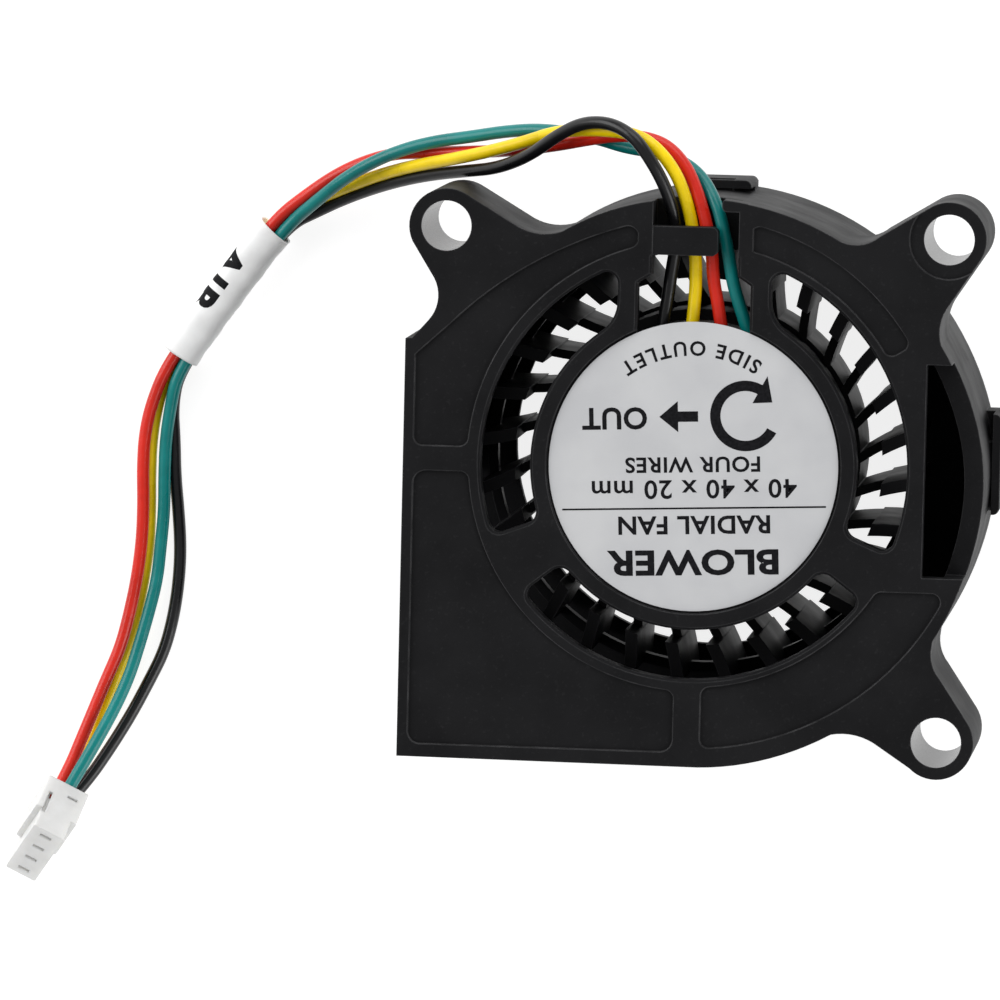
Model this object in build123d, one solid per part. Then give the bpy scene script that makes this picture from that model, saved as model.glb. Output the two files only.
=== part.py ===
"""A 40 mm dual-inlet centrifugal blower with a four-wire lead, in millimetres.

The blower lies flat with its label side up. The origin is on the impeller's axis, in the plane
of the rear face. +Z points out of the label side, and the air leaves through the -X face.
"""
from build123d import *
import math
import os

os.makedirs("parts", exist_ok=True)

# ---------------------------------------------------------------- casing
THICKNESS = 20.0                 # rear face to label-side face
PARTING_Z = 5.8                  # where the rear casing meets the front casing
PLATE = 1.5                      # the two large flat walls
WALL = 1.35                      # the walls around the scroll
OUTLET_X = -20.3                 # the face that the air leaves by
BOTTOM_Y = -20.9
OUTLET_TOP_Y = 8.36              # the corner above the outlet
TONGUE_Y = -0.7                  # upper edge of the outlet opening
# outer radius of the scroll at each angle, growing clockwise in the way the rotor turns
SCROLL = [(125, 18.7), (97, 18.7), (70, 18.7), (45, 18.95), (22, 19.4), (0, 20.05), (-22, 20.35),
          (-45, 20.8), (-68, 21.0), (-90, 21.0)]

# ---------------------------------------------------------------- mounting lugs
LUG_HOLES = {"top_left": (-17.6, 16.3), "top_right": (17.4, 16.3), "bottom_right": (17.4, -18.7)}
HOLE_R = 1.75                    # clears an M3 screw
LUG_LENGTH = 10.9
LUG_Z = THICKNESS - LUG_LENGTH
SPOT_FACE_R = 2.75

# ---------------------------------------------------------------- inlets and hub
INLET_R = 14.9
WINDOW_CHAMFER = 0.18            # around each opening of the front inlet
REAR_INLET_R = 14.2
HUB_R = 11.4
HUB_PLATE = 1.6
LABEL_POCKET_R = 10.3
LABEL_R = 10.1
LABEL_THICKNESS = 0.1
LABEL_POCKET = 0.35
SPOKES = [(200.6, 218.0), (323.0, 337.5)]        # the two plain spokes, from angle to angle
POST_LEFT = (-5.55, -4.15)                       # the posts on each side of the wire channel
POST_RIGHT = (3.7, 5.14)
POST_ROUND = 2.6                 # where a post runs into the hub
SPOKE_ROUND = 0.9                # where a spoke runs into the hub
RIM_ROUND = 0.8                  # where a spoke or post runs into the inlet's rim
RECESS = 0.22                    # shallow sunk panels on the label side
PANEL_ROUND = 0.65
PANEL_END_ROUND = 0.78           # of the narrow ends beside the wire channel

# ---------------------------------------------------------------- wire channel
CHANNEL_INNER_R = 10.0           # the hub is cut away beyond this, between the posts
CHANNEL_LEFT = -3.2
CHANNEL_RIGHT = 2.8
CHANNEL_START_Y = 13.3
CHANNEL_FLOOR_Z = 16.9
CHANNEL_FLOOR = 0.8
STRAP_Y = (14.7, 16.7)
STRAP_END_X = 1.35
STRAP_THICKNESS = 1.45
NOSE_Y = (17.8, 18.7)
NOSE_X = 1.6

# ---------------------------------------------------------------- side window
WINDOW_X = 16.09
WINDOW_Y = (-7.25, 7.6)
WINDOW_RIM_Z = 17.0

# ---------------------------------------------------------------- snap tabs
TAB_THICKNESS = 0.58
TAB_ROUND = 0.45
TAB_Z = (2.2, 8.6)
CATCH_Z = (6.4, 7.8)

# ---------------------------------------------------------------- rotor
SHAFT_R = 0.75
ROTOR_BACK_Z = 0.7
CUP_R = 11.0
CUP_TOP_Z = 16.0
CUP_LEDGE = 0.25                 # step in the cup's side
CUP_LEDGE_Z = 10.2
CUP_FLOOR = 1.2
YOKE_R = 10.0
YOKE_THICKNESS = 0.6
MAGNET_THICKNESS = 1.2
BLADES = 28
BLADE_R = 15.5
BLADE_STEP_R = 12.9
BLADE_TOP_Z = 15.6
BLADE_INNER_TOP_Z = 10.4
BLADE_BOTTOM_Z = 1.9
BLADE_THICKNESS = 0.85           # of the tall part
BLADE_INNER_THICKNESS = 0.62
BLADE_PHASE = 8.9                # angle of the first blade's tip, at rest
BLADE_SWEEP = 9.0                # degrees that a blade's root leads its tip
RING_Z = (7.4, 8.6)
RING_WIDTH = 0.7

# ---------------------------------------------------------------- motor
TUBE_R = 2.7                     # plastic bearing tube in the middle of the front casing
BEARING_R = 2.0
BEARING_CLEARANCE = 0.02
BEARING_Z = (4.4, 15.2)
STATOR_R = 7.8
STATOR_Z = (6.8, 11.6)
POLES = 4
POLE_NECK = 2.2
BOBBIN = 0.6
COIL_REACH = (3.9, 6.3)
COIL_BUILD = 1.1
BOARD_R = 9.0
BOARD_Z = (16.3, 17.1)

# ---------------------------------------------------------------- lead
WIRE_R = 0.45
SLEEVE_R = 1.27
SLEEVE_BORE_R = 1.12
SLEEVE_AXIS = [(-31.4, 15.1, 1.3), (-34.2, 11.3, 1.3), (-36.45, 8.15, 1.3), (-39.1, 4.3, 1.3)]
SLEEVE_SIDE = (-0.81, 0.58)      # across the sleeve, in the plane of the table
BUNDLE_STEP = 0.46               # a wire's offset from the sleeve's axis, each way
SLEEVE_END_SETBACK = 0.12        # of the sleeve's first and last run, left bare


def in_sleeve(side, level):
    """The four points of a wire that passes through the sleeve, beside and above its axis."""
    return [
        (x + side * BUNDLE_STEP * SLEEVE_SIDE[0], y + side * BUNDLE_STEP * SLEEVE_SIDE[1],
         z + level * BUNDLE_STEP)
        for x, y, z in SLEEVE_AXIS
    ]


ROUTES = {
    "wire_yellow": [
        (-0.5, 9.4, 17.85), (-0.3, 11.5, 17.85), (-0.3, 14.1, 17.8), (-0.6, 16.6, 17.85),
        (-1.1, 18.5, 18.0), (-1.8, 20.3, 18.3), (-3.0, 21.9, 18.6), (-4.5, 22.9, 18.3),
        (-6.6, 23.1, 17.2), (-8.7, 23.0, 15.6), (-10.8, 22.7, 13.9), (-13.2, 22.0, 12.2),
        (-15.8, 21.2, 10.7), (-18.5, 20.5, 8.7), (-21.2, 19.9, 6.5), (-23.9, 19.1, 4.5),
        (-26.5, 18.0, 2.8), (-29.1, 16.9, 1.4), *in_sleeve(1, -1), (-40.4, 1.6, 0.5),
        (-40.65, -0.8, 0.5), (-40.6, -3.3, 0.5), (-40.6, -5.8, 0.5), (-40.7, -8.3, 0.5),
        (-40.9, -10.8, 0.5), (-41.3, -13.2, 0.5), (-41.9, -15.6, 0.5), (-42.6, -18.0, 0.5),
        (-43.4, -20.3, 0.5), (-44.7, -23.2, 0.5), (-46.4, -26.3, 0.5), (-48.05, -29.1, 1.3),
    ],
    "wire_red": [
        (1.6, 9.5, 17.85), (1.3, 11.2, 17.85), (0.9, 13.1, 17.85), (0.8, 14.9, 17.85),
        (0.3, 17.0, 17.85), (-0.3, 18.9, 17.65), (-1.2, 20.8, 17.3), (-2.6, 22.2, 17.0),
        (-4.3, 22.7, 16.7), (-6.2, 22.7, 15.9), (-8.3, 22.3, 14.6), (-10.6, 21.9, 12.9),
        (-13.2, 21.4, 11.0), (-15.7, 21.1, 9.2), (-18.2, 20.9, 7.5), (-20.6, 20.7, 6.0),
        (-23.0, 20.4, 4.8), (-25.3, 19.7, 3.9), (-27.5, 18.6, 3.1), (-29.6, 17.1, 2.4),
        *in_sleeve(1, 1), (-40.8, 1.9, 1.4), (-41.3, -0.4, 1.2), (-41.4, -2.9, 1.15),
        (-41.3, -5.4, 1.2), (-41.35, -8.1, 1.2), (-41.6, -10.8, 1.2), (-42.1, -13.4, 1.2),
        (-42.7, -15.9, 1.25), (-43.5, -18.3, 1.35), (-44.3, -20.4, 1.6), (-45.1, -22.5, 1.9),
        (-46.0, -24.9, 2.3), (-47.2, -27.3, 3.2),
    ],
    "wire_green": [
        (3.5, 9.2, 17.85), (2.9, 10.9, 17.85), (2.3, 12.7, 17.85), (2.0, 14.4, 17.85),
        (1.6, 16.3, 17.8), (1.0, 18.2, 17.5), (-0.1, 20.0, 16.6), (-1.7, 21.1, 15.9),
        (-3.6, 21.6, 15.5), (-5.7, 21.8, 14.8), (-7.7, 22.3, 13.7), (-9.9, 22.8, 12.3),
        (-12.3, 22.9, 10.9), (-14.8, 22.6, 9.6), (-17.3, 22.1, 8.4), (-19.7, 21.7, 7.4),
        (-21.9, 21.1, 6.6), (-24.2, 20.1, 5.7), (-26.5, 18.6, 4.6), (-28.7, 16.8, 3.2),
        *in_sleeve(-1, 1), (-39.4, 1.4, 1.4), (-39.7, -0.9, 1.2), (-39.75, -3.4, 1.15),
        (-39.7, -5.9, 1.2), (-39.9, -8.4, 1.2), (-40.1, -10.9, 1.25), (-40.5, -13.3, 1.35),
        (-41.1, -15.6, 1.55), (-41.9, -17.9, 1.85), (-42.8, -20.1, 2.3), (-43.9, -22.3, 2.8),
        (-45.0, -24.6, 3.1), (-46.2, -26.85, 3.9),
    ],
    "wire_black": [
        (-2.5, 9.7, 17.85), (-2.2, 11.6, 17.85), (-2.0, 13.5, 17.85), (-1.7, 15.4, 17.85),
        (-1.9, 17.6, 18.2), (-2.6, 19.6, 18.9), (-3.6, 21.4, 19.5), (-4.8, 22.9, 19.3),
        (-6.5, 23.7, 18.4), (-8.5, 23.6, 17.0), (-10.4, 22.6, 15.5), (-12.5, 21.0, 13.6),
        (-15.0, 19.9, 11.2), (-17.5, 19.5, 8.9), (-20.0, 19.1, 6.8), (-22.5, 18.5, 4.9),
        (-24.9, 17.7, 3.1), (-27.1, 16.8, 1.7), (-28.9, 15.9, 0.95), *in_sleeve(-1, -1),
        (-38.9, 1.6, 0.5), (-38.85, -0.9, 0.5), (-38.9, -3.5, 0.5), (-38.6, -6.1, 0.5),
        (-38.4, -8.7, 0.5), (-38.5, -11.3, 0.5), (-39.0, -13.8, 0.5), (-39.8, -16.2, 0.55),
        (-40.9, -18.5, 0.7), (-42.0, -20.7, 0.9), (-43.3, -23.1, 1.2), (-44.9, -25.8, 1.6),
        (-47.1, -28.5, 2.2),
    ],
}

# ---------------------------------------------------------------- lead connector
CONNECTOR_CENTRE = (-47.38, -28.96, 3.9)
CONNECTOR_HEADING = 253.3        # degrees in the plane of the table, towards the mating face
CONNECTOR_TILT = 46.7            # degrees that the mating end is raised off the table
CONNECTOR_ROLL = -14.4           # degrees about its own length
CONNECTOR_LENGTH = 4.65
CONNECTOR_WIDTH = 5.9            # along the row of contacts
CONNECTOR_THICKNESS = 2.35
EARS = (3.2, 4.3, 2.9)           # across, along the row, and from the wire end forwards
CONTACT_PITCH = 1.5
CONTACTS = 4
CONTACT_SIZE = (0.5, 1.05)
CONTACT_SETBACK = 0.5            # behind the mating face
CONTACT_MOUTH = (0.3, 0.88)
CONNECTOR_POCKET = (1.9, 5.3, 1.7)      # opening that the wires go into: across, along, deep


def polar(radius, angle):
    """A point in the plane, from a radius and an angle in degrees."""
    return (radius * math.cos(math.radians(angle)), radius * math.sin(math.radians(angle)))


def plate(sketch, z_from, z_to):
    """A flat solid with the outline of the sketch, between two heights."""
    return Pos(0, 0, z_from) * extrude(sketch, z_to - z_from)


def disc(radius, z_from, z_to, centre=(0, 0)):
    return plate(Pos(*centre) * Circle(radius), z_from, z_to)


def ring(outer, inner, z_from, z_to):
    return plate(Circle(outer) - Circle(inner), z_from, z_to)


def block(x_range, y_range, z_range):
    """A box from its lower and upper limits along each axis."""
    size = [limits[1] - limits[0] for limits in (x_range, y_range, z_range)]
    centre = [(limits[1] + limits[0]) / 2 for limits in (x_range, y_range, z_range)]
    return Pos(*centre) * Box(*size)


def sector(radius, angle_from, angle_to, inner=0.0):
    """The part of a disc or ring between two angles."""
    span = angle_to - angle_from
    middle = polar(radius, angle_from + span / 2)
    edges = [
        Line(polar(inner, angle_from), polar(radius, angle_from)),
        ThreePointArc(polar(radius, angle_from), middle, polar(radius, angle_to)),
        Line(polar(radius, angle_to), polar(inner, angle_to)),
    ]
    if inner > 0:
        middle = polar(inner, angle_from + span / 2)
        edges.append(ThreePointArc(polar(inner, angle_to), middle, polar(inner, angle_from)))
    return make_face(Curve() + edges)


# ---------------------------------------------------------------- outlines
def body_outline(inset=0.0):
    """The scroll with the outlet block on its left, set in from the outer face by a wall."""
    points = [polar(radius - inset, angle) for angle, radius in SCROLL]
    back = polar(SCROLL[0][1] - inset, 152)
    spine = Spline(points)
    closing = Polyline(points[-1], (OUTLET_X + inset, BOTTOM_Y + inset),
                       (OUTLET_X + inset, OUTLET_TOP_Y - inset), back)
    last = ThreePointArc(back, polar(SCROLL[0][1] - inset, 138), points[0])
    return make_face(Curve() + [spine, closing, last])


def cavity_outline():
    """The air space: the scroll, and the straight outlet duct below the tongue."""
    points = [polar(radius - WALL, angle) for angle, radius in SCROLL]
    floor_y = BOTTOM_Y + WALL
    tongue = polar(SCROLL[0][1] - WALL, 187)
    edges = [
        Spline(points),
        Line(points[-1], (points[-1][0], floor_y)),
        Polyline((points[-1][0], floor_y), (OUTLET_X - 1, floor_y), (OUTLET_X - 1, TONGUE_Y),
                 (OUTLET_X + 2.2, TONGUE_Y), tongue),
        ThreePointArc(tongue, polar(SCROLL[0][1] - WALL, 156), points[0]),
    ]
    return make_face(Curve() + edges)


def lug_outline(name):
    """A mounting lug with flanks that run out into the scroll in smooth hollows."""
    flanks = {
        "top_left": [
            Line((OUTLET_X + 0.25, OUTLET_TOP_Y - 0.2), (-18.7, 9.7)),
            ThreePointArc((-18.7, 9.7), (-18.07, 11.4), (-18.55, 12.9)),
            Line((-18.55, 12.9), (-19.95, 15.15)),
            ThreePointArc((-19.95, 15.15), (-19.6, 17.96), (-16.3, 18.55)),
            Line((-16.3, 18.55), (-12.9, 16.55)),
            ThreePointArc((-12.9, 16.55), (-11.1, 15.92), (-9.1, 16.3)),
            Line((-9.1, 16.3), (-9.1, 8.0)),
            Line((-9.1, 8.0), (OUTLET_X + 0.25, OUTLET_TOP_Y - 0.2)),
        ],
        "top_right": [
            Line((8.7, 16.5), (9.7, 16.05)),
            ThreePointArc((9.7, 16.05), (11.2, 15.78), (12.6, 16.4)),
            Line((12.6, 16.4), (15.9, 18.43)),
            ThreePointArc((15.9, 18.43), (19.3, 18.07), (19.6, 14.95)),
            Line((19.6, 14.95), (17.5, 11.75)),
            ThreePointArc((17.5, 11.75), (16.9, 9.9), (17.5, 8.0)),
            Line((17.5, 8.0), (8.0, 8.0)),
            Line((8.0, 8.0), (8.7, 16.5)),
        ],
        "bottom_right": [
            Line((17.0, -11.45), (16.93, -12.0)),
            ThreePointArc((16.93, -12.0), (16.98, -13.2), (17.5, -14.2)),
            Line((17.5, -14.2), (19.55, -17.25)),
            ThreePointArc((19.55, -17.25), (18.9, -20.82), (15.6, -20.55)),
            Line((15.6, -20.55), (13.4, -19.1)),
            ThreePointArc((13.4, -19.1), (11.1, -18.3), (8.6, -19.0)),
            Line((8.6, -19.0), (8.0, -10.0)),
            Line((8.0, -10.0), (17.0, -11.45)),
        ],
    }
    return make_face(Curve() + flanks[name])


def rounded(face, corners, radius):
    """A face with the vertices nearest to some points rounded off."""
    picked = [face.vertices().sort_by_distance((*corner, 0))[0] for corner in corners]
    return fillet(picked, radius)


def panels():
    """The four shallow sunk panels of the label side."""
    end_x = -4.15
    low_y = 0.92
    inner_r = 15.82
    near_channel = (end_x, math.sqrt(inner_r ** 2 - end_x ** 2))
    near_outlet = (-math.sqrt(inner_r ** 2 - low_y ** 2), low_y)
    upper_left = make_face(Curve() + [
        Polyline((-19.6, low_y), (-19.6, 7.3), (-17.2, 9.5)),
        Spline((-17.2, 9.5), (-13.8, 12.4), (-9.7, 14.85), (end_x, 16.9)),
        Line((end_x, 16.9), near_channel),
        ThreePointArc(near_channel, polar(inner_r, 140), near_outlet),
        Line(near_outlet, (-19.6, low_y)),
    ])
    upper_left = rounded(upper_left, [(-19.6, low_y), near_outlet], PANEL_ROUND)
    upper_left = rounded(upper_left, [(end_x, 16.9), near_channel], PANEL_END_ROUND)

    lower_left = Pos(-10.28, -10.4) * RectangleRounded(18.6, 19.2, 0.9) - Circle(15.7)
    lower_left = lower_left.faces().sort_by(Axis.Y)[0]
    lower_left = rounded(lower_left, [(-15.7, -0.8), (-0.98, -15.7)], PANEL_ROUND)

    lower_right = sector(19.7, -90, 0, 15.4) & Pos(10.9, -18.3) * Rectangle(20, 20)
    lower_right = lower_right.faces()[0]
    lower_right = rounded(lower_right, [(0.9, -15.4), (0.9, -19.7), (17.9, -8.3), (13, -8.3)],
                          PANEL_ROUND)

    upper_right = sector(17.4, 30.5, 77.8, 15.55)
    for angle, radius in ((30.5, PANEL_ROUND), (77.8, PANEL_END_ROUND)):
        corners = [polar(17.4, angle), polar(15.55, angle)]
        upper_right = rounded(upper_right, corners, radius)
    return [upper_left, lower_left, lower_right, upper_right]


# ---------------------------------------------------------------- casing
def posts():
    """The two posts beside the wire channel, wider towards the rim of the inlet."""
    narrow_y = (9.5, 12.7)
    wide_y = (CHANNEL_START_Y, 16.5)
    left = Polygon((POST_LEFT[0], narrow_y[0]), (POST_LEFT[1], narrow_y[0]),
                   (POST_LEFT[1], narrow_y[1]), (CHANNEL_LEFT, wide_y[0]),
                   (CHANNEL_LEFT, wide_y[1]), (POST_LEFT[0], wide_y[1]), align=None)
    right = Polygon((POST_RIGHT[1], narrow_y[0]), (POST_RIGHT[1], wide_y[1]),
                    (CHANNEL_RIGHT, wide_y[1]), (CHANNEL_RIGHT, wide_y[0]),
                    (POST_RIGHT[0], narrow_y[1]), (POST_RIGHT[0], narrow_y[0]), align=None)
    return left + right


def inlet_windows():
    """The openings between hub, spokes and inlet rim, and the one that the wires cross."""
    channel_middle = (POST_LEFT[1] + POST_RIGHT[0]) / 2
    between_posts = Pos(channel_middle, INLET_R / 2) * Rectangle(
        POST_RIGHT[0] - POST_LEFT[1], INLET_R)
    opening = Circle(INLET_R) - Circle(HUB_R) - posts()
    for angle_from, angle_to in SPOKES:
        opening -= sector(INLET_R + 1, angle_from, angle_to, HUB_R - 1)
    opening += (Circle(HUB_R + 0.1) - Circle(CHANNEL_INNER_R)) & between_posts
    windows = []
    for face in opening.faces():
        window = make_face(face.outer_wire().edges())
        beside_channel = CHANNEL_LEFT - 1 < window.center().X < CHANNEL_RIGHT + 1
        if beside_channel and window.center().Y > 0:
            windows.append(window)
            continue
        window = round_hub_corners(window)
        near_rim = [corner for corner in window.vertices()
                    if math.hypot(corner.X, corner.Y) > INLET_R - 0.05]
        windows.append(fillet(near_rim, RIM_ROUND))
    return windows


def round_hub_corners(window):
    """Rounds a window's corners beside the hub, wide next to a post and narrow next to a spoke."""
    beside_post = [corner for corner in window.vertices()
                   if math.hypot(corner.X, corner.Y) < HUB_R + 0.1 and corner.Y > 8]
    if beside_post:
        window = fillet(beside_post, POST_ROUND)
    beside_spoke = [corner for corner in window.vertices()
                    if math.hypot(corner.X, corner.Y) < HUB_R + 0.1 and corner.Y < 0]
    return fillet(beside_spoke, SPOKE_ROUND)


def front_plate():
    """The label-side wall with its inlet windows, hub and spokes."""
    outline = body_outline()
    for name in LUG_HOLES:
        outline += lug_outline(name)
    wall = plate(outline, THICKNESS - PLATE, THICKNESS)
    wall += disc(HUB_R, THICKNESS - HUB_PLATE, THICKNESS - PLATE)
    for window in inlet_windows():
        wall -= plate(window, THICKNESS - HUB_PLATE - 1, THICKNESS + 1)
        mouth = Pos(0, 0, THICKNESS) * offset(window, WINDOW_CHAMFER)
        wall -= extrude(mouth, -WINDOW_CHAMFER, taper=45)
    return wall - disc(LABEL_POCKET_R, THICKNESS - LABEL_POCKET, THICKNESS + 1)


def side_walls(z_from, z_to):
    """The walls around the air space, between two heights."""
    return plate(body_outline() - cavity_outline(), z_from, z_to)


def wire_channel_walls():
    """The sides and floor of the sunk channel that the lead runs along."""
    walls_z = (CHANNEL_FLOOR_Z - CHANNEL_FLOOR, THICKNESS)
    top_y = SCROLL[1][1]
    trough = block((CHANNEL_LEFT - 1, CHANNEL_RIGHT + 1), (INLET_R + 0.1, top_y - 0.6), walls_z)
    return trough - disc(INLET_R + 0.2, 0, THICKNESS + 1)


def wire_channel_space():
    """What is cut away for the wires, from the hub to the top of the casing."""
    space_z = (CHANNEL_FLOOR_Z, THICKNESS + 1)
    return block((CHANNEL_LEFT, CHANNEL_RIGHT), (CHANNEL_START_Y, 21), space_z)


def strap():
    """The bar that holds three of the wires down, with a gap at its free end."""
    strap_z = (THICKNESS - STRAP_THICKNESS, THICKNESS - 0.05)
    bar = block((CHANNEL_LEFT - 0.5, STRAP_END_X), STRAP_Y, strap_z)
    corners = bar.edges().filter_by(Axis.Z).sort_by(Axis.X)[-2:]
    return fillet(corners, 0.45)


def nose():
    """The small hook at the channel's mouth that keeps the last wire in."""
    hook_z = (THICKNESS - 2.2, THICKNESS)
    hook = block((NOSE_X, CHANNEL_RIGHT + 0.6), NOSE_Y, hook_z)
    corners = hook.edges().filter_by(Axis.Z).sort_by(Axis.X)[:2]
    return fillet(corners, 0.35) & disc(SCROLL[1][1], 0, THICKNESS + 1)


def catches():
    """Small wedges outside the front casing that the rear casing's tabs snap over."""
    top = block((-1.3, 1.3), (18.2, 19.2), CATCH_Z)
    right = block((19.6, 20.6), (-1.7, 1.4), CATCH_Z)
    bottom = block((-9.4, -6.2), (-21.35, -20.3), CATCH_Z)
    return [top, right, bottom]


def front_casing():
    casing = front_plate() + side_walls(PARTING_Z, THICKNESS - PLATE)
    for name, centre in LUG_HOLES.items():
        lug = plate(lug_outline(name) - cavity_outline(), LUG_Z, THICKNESS)
        casing += lug
        casing -= disc(HOLE_R, 0, THICKNESS + 1, centre)
    casing -= disc(SPOT_FACE_R, THICKNESS - 0.2, THICKNESS + 1, LUG_HOLES["top_right"])
    for panel in panels():
        casing -= plate(panel, THICKNESS - RECESS, THICKNESS + 1)
    casing += wire_channel_walls()
    casing -= wire_channel_space()
    casing += strap()
    casing += nose()
    for catch in catches():
        casing += catch
    window = block((WINDOW_X, 23), WINDOW_Y, (WINDOW_RIM_Z, THICKNESS + 1))
    casing -= window
    casing += disc(TUBE_R, STATOR_Z[0] - 1.6, THICKNESS - HUB_PLATE + 0.1)
    casing -= disc(BEARING_R, 0, THICKNESS + 1)
    return casing


def tab(x_range, y_range, hole_x, hole_y, outward):
    """A flexible tab of the rear casing with a window for its catch and rounded outer corners."""
    window_z = (CATCH_Z[0] - 0.15, CATCH_Z[1] + 0.15)
    flap = block(x_range, y_range, TAB_Z)
    outer_edges = flap.edges().filter_by(Axis.Z).sort_by(outward)[-2:]
    flap = fillet(outer_edges, TAB_ROUND)
    return flap - block(hole_x, hole_y, window_z)


def rear_casing():
    """The unlabelled shell: a flat wall with an inlet, low sides and three snap tabs."""
    shell = plate(body_outline() - Circle(REAR_INLET_R), 0, PLATE)
    shell += side_walls(PLATE, PARTING_Z)
    lip = Cone(REAR_INLET_R + 0.9, REAR_INLET_R, 0.8)
    shell -= Pos(0, 0, 0.3) * lip
    root_z = (TAB_Z[0], PARTING_Z - 0.6)
    air_space = plate(cavity_outline(), 0, THICKNESS)
    gap = 0.1

    top_x = (-2.4, 2.7)
    top_y = SCROLL[1][1] + gap
    shell += tab(top_x, (top_y, top_y + TAB_THICKNESS), (-1.45, 1.45), (18, 20), Axis.Y)
    shell += block(top_x, (18.0, top_y + TAB_THICKNESS / 2), root_z) - air_space

    right_x = 20.17
    right_y = (-3.7, 3.4)
    shell += tab((right_x, right_x + TAB_THICKNESS), right_y, (19, 22), (-1.85, 1.55), Axis.X)
    shell += block((19.3, right_x + TAB_THICKNESS / 2), right_y, root_z) - air_space

    low_x = (-10.5, -5.1)
    low_y = BOTTOM_Y - gap
    shell += tab(low_x, (low_y - TAB_THICKNESS, low_y), (-9.55, -6.05), (-22, -20), -Axis.Y)
    shell += block(low_x, (low_y - TAB_THICKNESS / 2, -20.4), root_z)
    return shell


# ---------------------------------------------------------------- motor
def pole_outline():
    """A salient pole of the stator: a neck and a curved shoe."""
    neck = Pos(4.6, 0) * Rectangle(5.4, POLE_NECK)
    shoe = sector(STATOR_R, -34, 34, STATOR_R - 1.0)
    return neck + shoe


def stator_core():
    core = Circle(TUBE_R + 1.1)
    for pole in range(POLES):
        core += Rot(0, 0, 45 + pole * 360 / POLES) * pole_outline()
    return plate(core - Circle(TUBE_R), *STATOR_Z)


def bobbin(z_from, z_to):
    """A plastic insulator with the stator's outline and a collar round the bearing tube."""
    outline = Circle(TUBE_R + 1.1)
    for pole in range(POLES):
        outline += Rot(0, 0, 45 + pole * 360 / POLES) * pole_outline()
    return plate(outline - Circle(TUBE_R), z_from, z_to)


def winding(pole):
    """One coil, wound around a pole's neck and both insulators."""
    reach = COIL_REACH[1] - COIL_REACH[0]
    inside = (POLE_NECK + 0.04, STATOR_Z[1] - STATOR_Z[0] + 2 * BOBBIN + 0.04)
    outside = (inside[0] + 2 * COIL_BUILD, inside[1] + 2 * COIL_BUILD)
    section = Rectangle(*outside) - Rectangle(*inside)
    coil = extrude(Plane.YZ.offset(COIL_REACH[0]) * section, reach)
    coil = Pos(0, 0, (STATOR_Z[0] + STATOR_Z[1]) / 2) * coil
    return Rot(0, 0, 45 + pole * 360 / POLES) * coil


def circuit_board():
    """The drive board above the windings, with a pad row for the lead."""
    return ring(BOARD_R, TUBE_R + 0.1, *BOARD_Z)


def board_legs():
    """Four posts of the upper insulator that carry the board."""
    legs = []
    for pole in range(POLES):
        x, y = polar(STATOR_R - 0.7, 45 + pole * 360 / POLES)
        legs.append(disc(0.45, STATOR_Z[1] + BOBBIN, BOARD_Z[0], (x, y)))
    return legs


def board_component(x_range, y_range, height):
    """A component that hangs from the lower side of the board."""
    return block(x_range, y_range, (BOARD_Z[0] - height, BOARD_Z[0]))


def solder_joints():
    """A low dome of solder where each wire meets the board."""
    domes = []
    for points in ROUTES.values():
        x, y, _ = points[0]
        dome = Pos(x, y - 0.7, BOARD_Z[1]) * Sphere(0.62)
        domes.append(dome & block((x - 1, x + 1), (y - 1.6, y), (BOARD_Z[1], THICKNESS - 2)))
    return Compound(domes)


def bearing_sleeve():
    return ring(BEARING_R, SHAFT_R + BEARING_CLEARANCE, *BEARING_Z)


def thrust_washer():
    return ring(BEARING_R - 0.1, SHAFT_R + 0.05, BEARING_Z[1], BEARING_Z[1] + 0.25)


# ---------------------------------------------------------------- rotor
def shaft():
    """A steel pin with a groove near its free end for the retaining clip."""
    pin = disc(SHAFT_R, ROTOR_BACK_Z + 0.5, BEARING_Z[1] + 1.3)
    return pin - ring(SHAFT_R + 1, SHAFT_R - 0.22, BEARING_Z[1] + 0.4, BEARING_Z[1] + 0.7)


def retaining_clip():
    """The split washer that sits in the shaft's groove."""
    clip = ring(BEARING_R - 0.35, SHAFT_R - 0.2, BEARING_Z[1] + 0.42, BEARING_Z[1] + 0.68)
    return clip - block((0, BEARING_R), (-0.2, 0.2), (0, THICKNESS))


def oil_ring():
    """The ring on the shaft, below the bearing, that throws oil back."""
    return ring(SHAFT_R + 0.75, SHAFT_R, BEARING_Z[0] - 0.75, BEARING_Z[0] - 0.35)


def blade_outline(thickness):
    """A curved blade seen along the axis; its root leads its tip in rotation."""
    tip = polar(BLADE_R - 0.02, 0)
    middle = polar((CUP_R + BLADE_R) / 2, -BLADE_SWEEP * 0.28)
    root = polar(CUP_R - 0.3, -BLADE_SWEEP)
    path = ThreePointArc(root, middle, tip)
    side_from = offset_curve(path, thickness / 2)
    side_to = offset_curve(path, -thickness / 2)
    return make_face(Curve() + [
        side_from,
        Line(side_from @ 1, side_to @ 1),
        side_to,
        Line(side_to @ 0, side_from @ 0),
    ])


def blade():
    """A blade that is tall and thick near its tip, and low and thin near its root."""
    low = plate(blade_outline(BLADE_INNER_THICKNESS), BLADE_BOTTOM_Z, BLADE_INNER_TOP_Z)
    outer_part = blade_outline(BLADE_THICKNESS) & (Circle(BLADE_R + 1) - Circle(BLADE_STEP_R))
    return low + plate(outer_part, BLADE_BOTTOM_Z, BLADE_TOP_Z)


def offset_curve(path, distance):
    """The arc beside another arc, at a constant distance."""
    across = [Vector(0, 0, 1).cross(path % position) for position in (0, 0.5, 1)]
    points = [path @ position + side * distance
              for position, side in zip((0, 0.5, 1), across)]
    return ThreePointArc(*points)


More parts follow.
